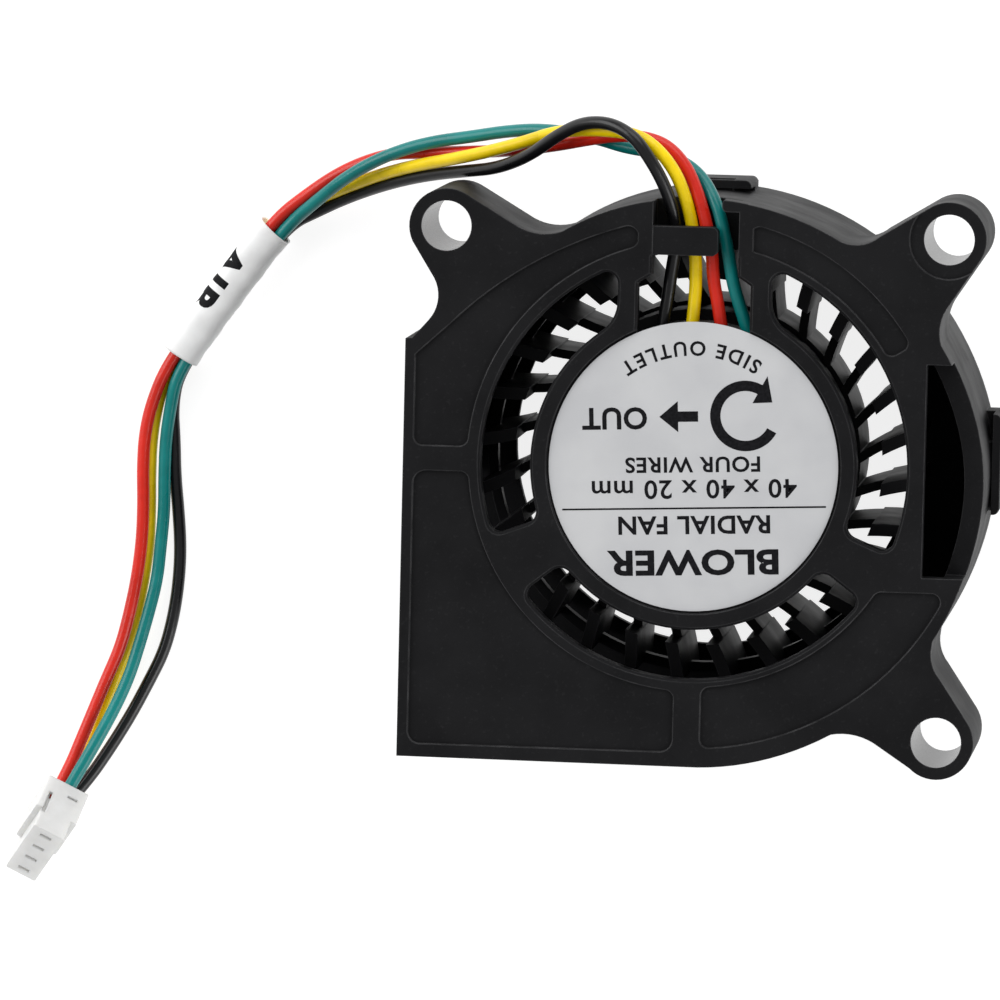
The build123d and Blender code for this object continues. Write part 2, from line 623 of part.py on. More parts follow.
def impeller():
    """The moulded cup with its blades and the ring that joins them."""
    cup = disc(CUP_R, ROTOR_BACK_Z, CUP_LEDGE_Z)
    cup += disc(CUP_R - CUP_LEDGE, CUP_LEDGE_Z, CUP_TOP_Z)
    cup -= disc(YOKE_R, ROTOR_BACK_Z + CUP_FLOOR, THICKNESS)
    cup += disc(SHAFT_R + 1.3, ROTOR_BACK_Z, BEARING_Z[0] - 0.85)
    cup += ring(BLADE_R, BLADE_R - RING_WIDTH, *RING_Z)
    blades = [Rot(0, 0, BLADE_PHASE + index * 360 / BLADES) * blade() for index in range(BLADES)]
    cup = cup + blades
    return cup - disc(SHAFT_R, ROTOR_BACK_Z + 0.5, THICKNESS)


def rotor_yoke():
    """The steel cup lining that closes the magnet's field."""
    yoke_z = ROTOR_BACK_Z + CUP_FLOOR
    return ring(YOKE_R, YOKE_R - YOKE_THICKNESS, yoke_z, CUP_TOP_Z - 0.6)


def magnet_ring():
    outer = YOKE_R - YOKE_THICKNESS
    return ring(outer, outer - MAGNET_THICKNESS, STATOR_Z[0] - 1.8, STATOR_Z[1] + 1.8)


# ---------------------------------------------------------------- label and lead
def label_disc():
    floor_z = THICKNESS - LABEL_POCKET
    return disc(LABEL_R, floor_z, floor_z + LABEL_THICKNESS)


def bend_radii(points):
    """The largest arc that each corner of a route has room for."""
    vectors = [Vector(*point) for point in points]
    runs = [after - before for before, after in zip(vectors, vectors[1:])]
    radii = []
    for before, after in zip(runs, runs[1:]):
        turn = math.radians(before.get_angle(after))
        radii.append(0.45 * min(before.length, after.length) / math.tan(turn / 2))
    return radii


def tube(points, outer, inner=0.0):
    """A tube of straight runs and tangent arcs along a route."""
    radii = bend_radii(points)
    path = FilletPolyline(*points, radius=radii)
    section = Circle(outer)
    if inner > 0:
        section -= Circle(inner)
    solid = sweep(Plane(origin=path @ 0, z_dir=path % 0) * section, path=path)
    area = math.pi * (outer ** 2 - inner ** 2)
    print(f"tube of {path.length:.1f} mm, tightest bend {min(radii):.1f} mm,"
          f" volume ratio {solid.volume / (area * path.length):.4f}")
    return solid


def marker_sleeve():
    """The heat-shrink marker around the four wires, a little shorter than the passage."""
    start, second, third, end = [Vector(*point) for point in SLEEVE_AXIS]
    setback = SLEEVE_END_SETBACK
    first = start + (second - start) * setback
    last = end + (third - end) * setback
    return tube([first, second, third, last], SLEEVE_R, SLEEVE_BORE_R)


def connector_frame():
    """The connector's own axes: X across, Y along the row of contacts, Z to the mating face."""
    tilt = math.radians(CONNECTOR_TILT)
    forward = Vector(*polar(1, CONNECTOR_HEADING))
    mating = forward * math.cos(tilt) + Vector(0, 0, math.sin(tilt))
    across = Vector(-forward.Y, forward.X, 0)
    upright = Plane(origin=CONNECTOR_CENTRE, x_dir=across, z_dir=mating)
    return upright.location * Rot(0, 0, CONNECTOR_ROLL)


def contact_rows():
    """The place of each contact along the connector's row."""
    return [(index - (CONTACTS - 1) / 2) * CONTACT_PITCH for index in range(CONTACTS)]


def connector_housing():
    """The moulded housing: a nose, two ears at the wire end, and a cell for each contact."""
    half = CONNECTOR_LENGTH / 2
    top = CONNECTOR_WIDTH / 2
    ear_centre = Pos(0, top - EARS[1] / 2, -half + EARS[2] / 2)
    housing = Box(CONNECTOR_THICKNESS, CONNECTOR_WIDTH, CONNECTOR_LENGTH) + ear_centre * Box(*EARS)
    housing = fillet(housing.edges().filter_by(Axis.Z), 0.15)
    across, along, deep = CONNECTOR_POCKET
    housing -= Pos(0, 0, -half + deep / 2 - 0.5) * Box(across, along, deep + 1)
    cell_length = CONNECTOR_LENGTH - CONTACT_SETBACK + 0.05
    for row in contact_rows():
        cell = Box(CONTACT_SIZE[1] + 0.1, CONTACT_SIZE[0] + 0.1, cell_length)
        housing -= Pos(0, row, cell_length / 2 - half) * cell
        housing -= Pos(0, row, half) * Box(CONTACT_MOUTH[1], CONTACT_MOUTH[0], 2)
    housing -= Pos(-0.98, top, 2.25 - half) * Box(0.26, 0.6, 1.9)
    housing -= Pos(0.62, top, 1.0 - half) * Box(0.8, 0.5, 0.22)
    return connector_frame() * housing


def connector_contacts():
    """Four crimped sockets, each in its own cell of the housing."""
    half = CONNECTOR_LENGTH / 2
    bottom = -half + CONNECTOR_POCKET[2]
    height = CONNECTOR_LENGTH - CONNECTOR_POCKET[2] - CONTACT_SETBACK
    sockets = []
    for row in contact_rows():
        socket = Box(CONTACT_SIZE[1], CONTACT_SIZE[0], height)
        socket -= Pos(0, 0, height / 2) * Box(CONTACT_SIZE[1] - 0.4, CONTACT_SIZE[0] - 0.2, 2)
        sockets.append(Pos(0, row, bottom + height / 2) * socket)
    return connector_frame() * Compound(sockets)


def main():
    upper = bobbin(STATOR_Z[1], STATOR_Z[1] + BOBBIN)
    for leg in board_legs():
        upper += leg
    nodes = {
        "front_casing": front_casing(),
        "rear_casing": rear_casing(),
        "label_disc": label_disc(),
        "stator_core": stator_core(),
        "bobbin_upper": upper,
        "bobbin_lower": bobbin(STATOR_Z[0] - BOBBIN, STATOR_Z[0]),
        "circuit_board": circuit_board(),
        "driver_chip": board_component((-6.4, -3.6), (-1.6, 1.6), 1.2),
        "hall_sensor": board_component((-1.0, 1.0), (-8.6, -7.4), 1.0),
        "board_capacitor": board_component((4.0, 5.6), (-0.6, 0.6), 0.9),
        "solder_joints": solder_joints(),
        "bearing_sleeve": bearing_sleeve(),
        "thrust_washer": thrust_washer(),
        "impeller": impeller(),
        "rotor_yoke": rotor_yoke(),
        "magnet_ring": magnet_ring(),
        "shaft": shaft(),
        "retaining_clip": retaining_clip(),
        "oil_ring": oil_ring(),
        "marker_sleeve": marker_sleeve(),
        "connector_housing": connector_housing(),
        "connector_contacts": connector_contacts(),
    }
    for pole in range(POLES):
        nodes[f"winding_{pole + 1}"] = winding(pole)
    for name, points in ROUTES.items():
        nodes[name] = tube(points, WIRE_R)
    for name, shape in nodes.items():
        export_step(shape, f"parts/{name}.step")


main()
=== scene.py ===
"""The looks of the blower fan: materials, lead, label and studio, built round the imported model.

Everything is in metres, in the part's own frame: origin on the impeller's axis in the plane of the
rear face, +Z out of the label side.
"""

import math

import bmesh
import bpy
from mathutils import Matrix, Vector


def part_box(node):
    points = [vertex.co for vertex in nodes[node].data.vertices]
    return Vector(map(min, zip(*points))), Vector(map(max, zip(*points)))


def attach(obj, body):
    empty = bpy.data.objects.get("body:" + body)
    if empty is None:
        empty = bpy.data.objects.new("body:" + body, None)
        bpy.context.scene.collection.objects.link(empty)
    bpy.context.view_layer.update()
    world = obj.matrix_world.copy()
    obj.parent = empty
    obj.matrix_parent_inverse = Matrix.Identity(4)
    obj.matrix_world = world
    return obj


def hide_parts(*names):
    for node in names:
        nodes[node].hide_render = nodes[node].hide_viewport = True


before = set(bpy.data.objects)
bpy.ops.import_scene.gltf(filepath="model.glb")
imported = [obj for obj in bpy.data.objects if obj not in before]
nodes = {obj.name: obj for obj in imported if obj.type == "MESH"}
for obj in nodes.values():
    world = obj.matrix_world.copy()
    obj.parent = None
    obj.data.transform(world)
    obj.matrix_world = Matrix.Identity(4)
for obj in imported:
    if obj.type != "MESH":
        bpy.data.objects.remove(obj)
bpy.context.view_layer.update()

# ---------------------------------------------------------------- camera
CAMERA_PLACE = Vector((0.0581, 0.0600, 0.7185))
CAMERA_TARGET = Vector((-0.01424, -0.00345, 0.012))
CAMERA_ROLL = 1.311              # degrees, the object turned clockwise in the picture
CAMERA_LENS = 364.3
CAMERA_SENSOR = 36.0
CAMERA_NEAREST = 0.01

# ---------------------------------------------------------------- studio
FLOOR_HALF_WIDTH = 3.0
FLOOR_DROP = 0.00002             # below the part, so that the two faces don't coincide
FLOOR_GLOW = 0.85
WORLD_STRENGTH = 0.4
LIGHTS = [
    # name, place, size, watts
    ("softbox_left", (-0.55, 0.25, 0.35), 0.5, 2.9),
    ("softbox_right", (0.5, -0.35, 0.35), 0.5, 2.9),
    ("softbox_back", (0.1, 0.7, 0.4), 0.6, 2.8),
]

# ---------------------------------------------------------------- lead
WIRE_RADIUS = 0.00045
BUNDLE_STEP = 0.00046            # a wire's offset from the sleeve's axis, each way
SLEEVE_SIDE = (-0.81, 0.58)      # across the sleeve, in the plane of the table
SLEEVE_AXIS = [(-0.0314, 0.0151, 0.0013), (-0.0342, 0.0113, 0.0013),
               (-0.03645, 0.00815, 0.0013), (-0.0391, 0.0043, 0.0013)]
SLEEVE_APPROACH = (-0.0288, 0.0171, 0.0021)      # middle of the wires before the sleeve
SLEEVE_DEPARTURE = (-0.0400, 0.0017, 0.0010)     # and after it


def in_sleeve(side, level):
    """The four points of a wire that passes through the sleeve, beside and above its axis."""
    return [
        (x + side * BUNDLE_STEP * SLEEVE_SIDE[0], y + side * BUNDLE_STEP * SLEEVE_SIDE[1],
         z + level * BUNDLE_STEP)
        for x, y, z in SLEEVE_AXIS
    ]


# The middle line of each wire, from its solder joint on the drive board to the connector.
ROUTES = {
    "wire_yellow": [
        (-0.0005, 0.0094, 0.01785), (-0.0003, 0.0115, 0.01785), (-0.0003, 0.0141, 0.0178),
        (-0.0006, 0.0166, 0.01785), (-0.0011, 0.0185, 0.018), (-0.0018, 0.0203, 0.0183),
        (-0.003, 0.0219, 0.0186), (-0.0045, 0.0229, 0.0183), (-0.0066, 0.0231, 0.0172),
        (-0.0087, 0.023, 0.0156), (-0.0108, 0.0227, 0.0139), (-0.0132, 0.0218, 0.0122),
        (-0.0158, 0.021, 0.0107), (-0.0185, 0.0203, 0.0087), (-0.0212, 0.0197, 0.0065),
        (-0.0239, 0.0189, 0.0045), (-0.0264, 0.0179, 0.0028), (-0.02894, 0.01678, 0.0014),
        *in_sleeve(1, -1), (-0.0403, 0.0016, 0.0005), (-0.04067, -0.0008, 0.0005),
        (-0.04073, -0.0033, 0.0005), (-0.04067, -0.0058, 0.0005), (-0.04072, -0.0083, 0.0005),
        (-0.041, -0.0108, 0.0005), (-0.04145, -0.0132, 0.0005), (-0.042, -0.0156, 0.0005),
        (-0.04285, -0.018, 0.0005), (-0.0436, -0.0203, 0.0005), (-0.04475, -0.0232, 0.0005),
        (-0.0464, -0.0263, 0.0005), (-0.04805, -0.0291, 0.0013),
    ],
    "wire_red": [
        (0.0016, 0.0095, 0.01785), (0.0013, 0.0112, 0.01785), (0.0009, 0.0131, 0.01785),
        (0.0008, 0.0149, 0.01785), (0.0003, 0.017, 0.01785), (-0.0003, 0.0189, 0.01765),
        (-0.0012, 0.0208, 0.0173), (-0.0026, 0.0222, 0.017), (-0.0043, 0.0227, 0.0167),
        (-0.0062, 0.0227, 0.0159), (-0.0083, 0.0223, 0.0146), (-0.0106, 0.02175, 0.0129),
        (-0.0132, 0.02125, 0.011), (-0.0157, 0.02095, 0.0092), (-0.0182, 0.02075, 0.0075),
        (-0.0206, 0.02055, 0.006), (-0.023, 0.0204, 0.0048), (-0.0253, 0.0197, 0.0039),
        (-0.0275, 0.0186, 0.0031), (-0.0296, 0.0171, 0.0024), *in_sleeve(1, 1),
        (-0.04055, 0.0019, 0.00145), (-0.04105, -0.0004, 0.00135), (-0.04115, -0.0029, 0.00132),
        (-0.04105, -0.0054, 0.00132), (-0.0411, -0.0081, 0.00132), (-0.0414, -0.0108, 0.00132),
        (-0.0419, -0.0134, 0.00132), (-0.0425, -0.0159, 0.00135), (-0.0435, -0.0183, 0.0014),
        (-0.0443, -0.0204, 0.0016), (-0.0451, -0.0225, 0.0019), (-0.046, -0.0249, 0.0023),
        (-0.0472, -0.0273, 0.0032),
    ],
    "wire_green": [
        (0.0035, 0.0092, 0.01785), (0.0029, 0.0109, 0.01785), (0.0023, 0.0127, 0.01785),
        (0.002, 0.0144, 0.01785), (0.0016, 0.0163, 0.0178), (0.001, 0.0182, 0.0175),
        (-0.0001, 0.02, 0.0166), (-0.0017, 0.0211, 0.0159), (-0.0036, 0.0216, 0.0155),
        (-0.0057, 0.0218, 0.0148), (-0.0077, 0.0223, 0.0137), (-0.0099, 0.0226, 0.0123),
        (-0.0123, 0.0227, 0.0109), (-0.0148, 0.0224, 0.0096), (-0.0173, 0.0219, 0.0084),
        (-0.0197, 0.0215, 0.0074), (-0.0219, 0.0209, 0.0066), (-0.0242, 0.01995, 0.0057),
        (-0.0265, 0.0186, 0.0046), (-0.0287, 0.0168, 0.0032), *in_sleeve(-1, 1),
        (-0.03925, 0.0014, 0.0014), (-0.03955, -0.0009, 0.0012), (-0.0396, -0.0034, 0.00115),
        (-0.03955, -0.0059, 0.0012), (-0.03975, -0.0084, 0.0012), (-0.03995, -0.0109, 0.00125),
        (-0.0405, -0.0133, 0.00135), (-0.0411, -0.0156, 0.00155), (-0.04175, -0.0179, 0.00185),
        (-0.04265, -0.0201, 0.0023), (-0.04375, -0.0223, 0.0028), (-0.045, -0.0246, 0.0031),
        (-0.0462, -0.02685, 0.0039),
    ],
    "wire_black": [
        (-0.0025, 0.0097, 0.01785), (-0.0022, 0.0116, 0.01785), (-0.002, 0.0135, 0.01785),
        (-0.0017, 0.0154, 0.01785), (-0.0019, 0.0176, 0.0182), (-0.0026, 0.0196, 0.0189),
        (-0.0036, 0.0214, 0.0195), (-0.0048, 0.0229, 0.0193), (-0.0065, 0.0237, 0.0184),
        (-0.0085, 0.0236, 0.017), (-0.0104, 0.0226, 0.0155), (-0.0125, 0.021, 0.0136),
        (-0.015, 0.0199, 0.0112), (-0.0175, 0.0195, 0.0089), (-0.02, 0.0191, 0.0068),
        (-0.0225, 0.0185, 0.0049), (-0.0249, 0.0177, 0.0031), (-0.0271, 0.0168, 0.0017),
        (-0.0289, 0.0159, 0.00095), *in_sleeve(-1, -1), (-0.0392, 0.0016, 0.0005),
        (-0.039, -0.0009, 0.0005), (-0.0389, -0.0035, 0.0005), (-0.0386, -0.0061, 0.0005),
        (-0.0384, -0.0087, 0.0005), (-0.0385, -0.0113, 0.0005), (-0.03885, -0.0138, 0.0005),
        (-0.03945, -0.0162, 0.00055), (-0.04055, -0.0185, 0.0007), (-0.04165, -0.0207, 0.0009),
        (-0.04305, -0.0231, 0.0012), (-0.0448, -0.0258, 0.0016), (-0.0471, -0.0285, 0.0022),
    ],
}

WIRE_COLOURS = {
    "wire_yellow": (1.0, 0.72, 0.0),
    "wire_red": (0.72, 0.02, 0.008),
    "wire_green": (0.0, 0.215, 0.205),
    "wire_black": (0.006, 0.006, 0.007),
}

# ---------------------------------------------------------------- screw holes
HOLES = [(-0.0176, 0.0163), (0.0174, 0.0163), (0.0174, -0.0187)]
HOLE_RADIUS = 0.00175
HOLE_ROUGHNESS = 0.2

# ---------------------------------------------------------------- marker sleeve
SLEEVE_OUTER = 0.00127
SLEEVE_BORE = 0.00112
SLEEVE_START = 0.0006            # bare passage before the sleeve
SLEEVE_LENGTH = 0.0114
SLEEVE_FLATTENING = (1.1, 0.94)  # across and upwards
SLEEVE_SHIFT = 0.00012           # of the loose sleeve away from the fan
SLEEVE_LIP = 0.00016             # rounding of its two ends
SLEEVE_RINGS = 72
SLEEVE_SEGMENTS = 48
SLEEVE_MEAN_SHAPE = 0.99         # share of the outer radius
SLEEVE_SQUARENESS = 0.03
SLEEVE_CREASES = [
    # share of the radius, waves along it in radians per metre, turns round it
    (0.014, 2300, 2),
    (0.010, 5100, -3),
]
WORD_ANGLE = 74                  # degrees round the sleeve to the tops of the letters
WORD_MIDDLE = 0.0052             # from the sleeve's start
WORD_HEIGHT = 0.0020

# ---------------------------------------------------------------- print
CAP_HEIGHT = 0.7                 # of the built-in font's size
INK_THICKNESS = 0.00001
LABEL_TURN = 182.4               # degrees; the print reads from the other side of the fan
RULE_HEIGHT = 0.0029             # of the line across the label, above the label's middle
RULE_HALF_THICKNESS = 0.00006
RULE_REACH = 0.00965             # from the label's middle to the ends of the line
STROKE = 0.00036                 # half the width of the arrows' strokes
TURN_CENTRE = Vector((-0.0037, -0.0035))
TURN_RADIUS = 0.0021
TURN_START = 240                 # degrees, where the round arrow's head sits
TURN_END = 510
TURN_HEAD = 34                   # degrees that the head takes up
TURN_STEPS = 40
FLOW_HEIGHT = -0.0035
FLOW_TAIL = -0.0004
FLOW_NECK = 0.0010
FLOW_TIP = 0.0023

# ---------------------------------------------------------------- motor windings and core
SHEET_WAVES = 18000.0            # radians per metre, for sheets 0.35 mm thick
COPPER_WAVES = 34000.0           # radians per metre, for wire 0.18 mm thick


# ---------------------------------------------------------------- material nodes
class Finish:
    """A material under construction: a Principled shader and helpers for the nodes that feed it."""

    def __init__(self, name, **sockets):
        self.material = bpy.data.materials.new(name)
        self.material.use_nodes = True
        self.tree = self.material.node_tree
        self.shader = self.tree.nodes["Principled BSDF"]
        coordinates = self.node("ShaderNodeTexCoord")
        self.place = coordinates.outputs["Object"]
        for socket, value in sockets.items():
            self.shader.inputs[socket.replace("_", " ")].default_value = value

    def node(self, kind, **settings):
        made = self.tree.nodes.new(kind)
        for setting, value in settings.items():
            setattr(made, setting, value)
        return made

    def link(self, source, target):
        self.tree.links.new(source, target)

    def noise(self, size, detail=3.0, roughness=0.5, stretch=None):
        """Noise from 0 to 1 whose features are about that size, in metres."""
        texture = self.node("ShaderNodeTexNoise")
        texture.inputs["Scale"].default_value = 1 / size
        texture.inputs["Detail"].default_value = detail
        texture.inputs["Roughness"].default_value = roughness
        place = self.place
        if stretch is not None:
            mapping = self.node("ShaderNodeMapping")
            mapping.inputs["Scale"].default_value = stretch
            self.link(place, mapping.inputs["Vector"])
            place = mapping.outputs["Vector"]
        self.link(place, texture.inputs["Vector"])
        return texture.outputs["Fac"]

    def ramp(self, source, low, high, from_low=0.35, from_high=0.65):
        """A number that runs from low to high while the source crosses its middle range."""
        remap = self.node("ShaderNodeMapRange")
        self.link(source, remap.inputs["Value"])
        for socket, value in zip(("From Min", "From Max", "To Min", "To Max"),
                                 (from_low, from_high, low, high)):
            remap.inputs[socket].default_value = value
        return remap.outputs["Result"]

    def mix(self, amount, first, second):
        """A colour between two, each a colour or another node's output."""
        mixer = self.node("ShaderNodeMix", data_type="RGBA")
        self.link(amount, mixer.inputs["Factor"])
        for socket, value in (("A", first), ("B", second)):
            target = [i for i in mixer.inputs if i.name == socket and i.type == "RGBA"][0]
            if isinstance(value, tuple):
                target.default_value = (*value, 1)
            else:
                self.link(value, target)
        return [o for o in mixer.outputs if o.type == "RGBA"][0]

    def maths(self, operation, first, second):
        maths = self.node("ShaderNodeMath", operation=operation)
        for socket, value in zip(maths.inputs, (first, second)):
            if isinstance(value, (int, float)):
                socket.default_value = value
            else:
                self.link(value, socket)
        return maths.outputs["Value"]

    def bump(self, height, depth, strength=1.0, normal=None):
        """Relief of that depth in metres, on top of another normal if one is given."""
        relief = self.node("ShaderNodeBump")
        relief.inputs["Strength"].default_value = strength
        relief.inputs["Distance"].default_value = depth
        self.link(height, relief.inputs["Height"])
        if normal is not None:
            self.link(normal, relief.inputs["Normal"])
        return relief.outputs["Normal"]

    def rounded(self, radius):
        """A normal that turns smoothly over each edge, as a moulded edge does."""
        bevel = self.node("ShaderNodeBevel", samples=6)
        bevel.inputs["Radius"].default_value = radius
        return bevel.outputs["Normal"]

    def edge_mask(self, rounded_normal):
        """1 on an edge and 0 on flat faces, from how far the rounded normal has turned."""
        flat = self.node("ShaderNodeNewGeometry")
        dot = self.node("ShaderNodeVectorMath", operation="DOT_PRODUCT")
        self.link(rounded_normal, dot.inputs[0])
        self.link(flat.outputs["True Normal"], dot.inputs[1])
        return self.ramp(dot.outputs["Value"], 1.0, 0.0, 0.84, 0.992)

    def inside_hole(self, centre, outside, inside):
        """One number near a vertical hole's axis and another elsewhere."""
        offset = self.node("ShaderNodeVectorMath", operation="SUBTRACT")
        offset.inputs[1].default_value = (*centre, 0.0)
        self.link(self.place, offset.inputs[0])
        flat = self.node("ShaderNodeVectorMath", operation="MULTIPLY")
        flat.inputs[1].default_value = (1.0, 1.0, 0.0)
        self.link(offset.outputs["Vector"], flat.inputs[0])
        away = self.node("ShaderNodeVectorMath", operation="LENGTH")
        self.link(flat.outputs["Vector"], away.inputs[0])
        near = self.ramp(away.outputs["Value"], 1.0, 0.0, HOLE_RADIUS * 1.01, HOLE_RADIUS * 1.03)
        mixer = self.node("ShaderNodeMix", data_type="FLOAT")
        self.link(near, mixer.inputs["Factor"])
        self.link(outside, mixer.inputs["A"])
        mixer.inputs["B"].default_value = inside
        return mixer.outputs["Result"]

    def finish(self, colour=None, roughness=None, normal=None):
        for socket, source in (("Base Color", colour), ("Roughness", roughness),
                               ("Normal", normal)):
            if source is not None:
                self.link(source, self.shader.inputs[socket])
        return self.material


def moulded_plastic(name, dark, light, edge, roughness, grain, edge_radius, holes=()):
    """Spark-eroded moulded plastic: a fine even grain, faint flow marks and paler edges, a painted
    highlight laid in uneven patches like wear.

    The walls of the screw holes are smoother, because core pins form them.
    """
    finish = Finish(name, IOR=1.5, Specular_IOR_Level=0.07)
    rounded = finish.rounded(edge_radius)
    fine = finish.noise(grain, 2.0, 0.6)
    flow = finish.noise(0.006, 4.0, 0.6)
    colour = finish.mix(finish.ramp(flow, 0.0, 1.0), dark, light)
    speck = finish.ramp(finish.noise(grain * 1.5, 1.0), 0.0, 0.07, 0.62, 0.8)
    colour = finish.mix(speck, colour, edge)
    # Painted highlight: every edge is lightened towards the edge colour, in uneven patches like
    # wear.
    edge_highlight_and_wear = finish.maths("MULTIPLY", finish.edge_mask(rounded),
                        finish.ramp(finish.noise(0.0016, 5.0, 0.7), 0.25, 1.0))
    colour = finish.mix(edge_highlight_and_wear, colour, edge)
    rough = finish.ramp(flow, roughness - 0.05, roughness + 0.08)
    for centre in holes:
        rough = finish.inside_hole(centre, rough, HOLE_ROUGHNESS)
    normal = finish.bump(fine, 0.000012, 0.55, rounded)
    return finish.finish(colour, rough, normal)


def wire_insulation(name, colour):
    """Glossy extruded PVC with a slightly uneven surface and finger-dulled patches."""
    finish = Finish(name, IOR=1.52, Specular_IOR_Level=0.3, Coat_Weight=0.15, Coat_Roughness=0.08)
    patches = finish.noise(0.0035, 4.0, 0.6)
    darker = tuple(0.78 * part for part in colour)
    tint = finish.mix(finish.ramp(patches, 0.0, 1.0), darker, colour)
    rough = finish.ramp(patches, 0.24, 0.4)
    ripple = finish.noise(0.0011, 2.0)
    fine = finish.noise(0.00012, 2.0)
    normal = finish.bump(ripple, 0.00004, 0.5)
    normal = finish.bump(fine, 0.000004, 0.3, normal)
    return finish.finish(tint, rough, normal)


def label_film():
    """Matte silver polyester film with a brushed sheen."""
    finish = Finish("label_film", Metallic=0.25, IOR=1.45)
    brushed = finish.noise(0.0004, 4.0, 0.6, (1.0, 12.0, 1.0))
    cloud = finish.noise(0.005, 3.0)
    colour = finish.mix(finish.ramp(cloud, 0.0, 1.0), (0.54, 0.545, 0.56), (0.6, 0.605, 0.615))
    rough = finish.ramp(brushed, 0.42, 0.58)
    normal = finish.bump(finish.noise(0.00015, 2.0), 0.000003, 0.4)
    return finish.finish(colour, rough, normal)


def print_ink(name):
    """Matte black ink with tiny uneven spots."""
    finish = Finish(name, IOR=1.45, Specular_IOR_Level=0.15)
    spots = finish.noise(0.0002, 3.0)
    colour = finish.mix(finish.ramp(spots, 0.0, 1.0), (0.002, 0.002, 0.003), (0.008, 0.008, 0.01))
    rough = finish.ramp(spots, 0.5, 0.7)
    return finish.finish(colour, rough, finish.bump(spots, 0.000002, 0.3))


def shrink_tubing():
    """Semi-matte white heat-shrink tubing with faint creases."""
    finish = Finish("shrink_tubing", IOR=1.46, Subsurface_Weight=0.12, Subsurface_Scale=0.0008)
    finish.shader.inputs["Subsurface Radius"].default_value = (1.0, 0.9, 0.8)
    cloud = finish.noise(0.0022, 4.0, 0.6)
    colour = finish.mix(finish.ramp(cloud, 0.0, 1.0), (0.86, 0.86, 0.855), (0.92, 0.92, 0.915))
    rough = finish.ramp(cloud, 0.42, 0.6)
    normal = finish.bump(finish.noise(0.0007, 3.0), 0.00005, 0.45)
    normal = finish.bump(finish.noise(0.00009, 2.0), 0.000004, 0.4, normal)
    return finish.finish(colour, rough, normal)


def natural_nylon():
    """Milky unfilled nylon, slightly see-through at its thin walls."""
    finish = Finish("natural_nylon", IOR=1.53, Subsurface_Weight=0.3, Subsurface_Scale=0.0012)
    finish.shader.inputs["Subsurface Radius"].default_value = (1.0, 0.95, 0.85)
    rounded = finish.rounded(0.00016)
    cloud = finish.noise(0.0015, 3.0)
    colour = finish.mix(finish.ramp(cloud, 0.0, 1.0), (0.68, 0.68, 0.67), (0.75, 0.75, 0.74))
    rough = finish.ramp(cloud, 0.3, 0.45)
    normal = finish.bump(finish.noise(0.0001, 2.0), 0.000004, 0.35, rounded)
    return finish.finish(colour, rough, normal)


def metal(name, dark, light, roughness, grain=0.0002, stretch=None, depth=0.000003):
    """Bare metal with tarnish patches and a fine tooling grain."""
    finish = Finish(name, Metallic=1.0)
    patches = finish.noise(0.0018, 4.0, 0.6)
    colour = finish.mix(finish.ramp(patches, 0.0, 1.0), dark, light)
    fine = finish.noise(grain, 3.0, 0.6, stretch)
    rough = finish.ramp(fine, roughness - 0.08, roughness + 0.1)
    normal = finish.bump(fine, depth, 0.5, finish.rounded(0.00005))
    return finish.finish(colour, rough, normal)


def laminations():
    """Stamped steel sheets, each 0.35 mm thick, seen from their cut edges."""
    finish = Finish("laminations", Metallic=1.0)
    patches = finish.noise(0.0012, 4.0, 0.6)
    colour = finish.mix(finish.ramp(patches, 0.0, 1.0), (0.2, 0.2, 0.21), (0.36, 0.36, 0.37))
    height = finish.node("ShaderNodeSeparateXYZ")
    finish.link(finish.place, height.inputs["Vector"])
    layers = finish.maths("SINE", finish.maths("MULTIPLY", height.outputs["Z"], SHEET_WAVES), 0.0)
    rough = finish.ramp(patches, 0.35, 0.55)
    return finish.finish(colour, rough, finish.bump(layers, 0.00003, 0.6))


def enamelled_copper():
    """Turns of enamelled wire, laid side by side away from the middle of the motor."""
    finish = Finish("enamelled_copper", Metallic=1.0, Coat_Weight=0.5, Coat_Roughness=0.15)
    flat = finish.node("ShaderNodeVectorMath", operation="MULTIPLY")
    flat.inputs[1].default_value = (1.0, 1.0, 0.0)
    finish.link(finish.place, flat.inputs[0])
    radius = finish.node("ShaderNodeVectorMath", operation="LENGTH")
    finish.link(flat.outputs["Vector"], radius.inputs[0])
    turns = finish.maths("MULTIPLY", radius.outputs["Value"], COPPER_WAVES)
    wobble = finish.ramp(finish.noise(0.0012, 2.0), -1.2, 1.2, 0.0, 1.0)
    ridges = finish.maths("SINE", finish.maths("ADD", turns, wobble), 0.0)
    patches = finish.noise(0.0008, 3.0)
    colour = finish.mix(finish.ramp(patches, 0.0, 1.0), (0.55, 0.17, 0.06), (0.78, 0.3, 0.12))
    rough = finish.ramp(ridges, 0.4, 0.25, -1.0, 1.0)
    return finish.finish(colour, rough, finish.bump(ridges, 0.00006, 0.8))


def plain_solid(name, dark, light, roughness):
    """A small dull part: mottled colour, fine grain and softened edges."""
    finish = Finish(name, IOR=1.5)
    patches = finish.noise(0.0012, 4.0, 0.6)
    colour = finish.mix(finish.ramp(patches, 0.0, 1.0), dark, light)
    rough = finish.ramp(patches, roughness - 0.06, roughness + 0.08)
    normal = finish.bump(finish.noise(0.0003, 3.0), 0.00001, 0.5, finish.rounded(0.00006))
    return finish.finish(colour, rough, normal)


def dress(names, material):
    """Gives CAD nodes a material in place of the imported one."""
    for name in names:
        slots = nodes[name].data.materials
        slots.clear()
        slots.append(material)


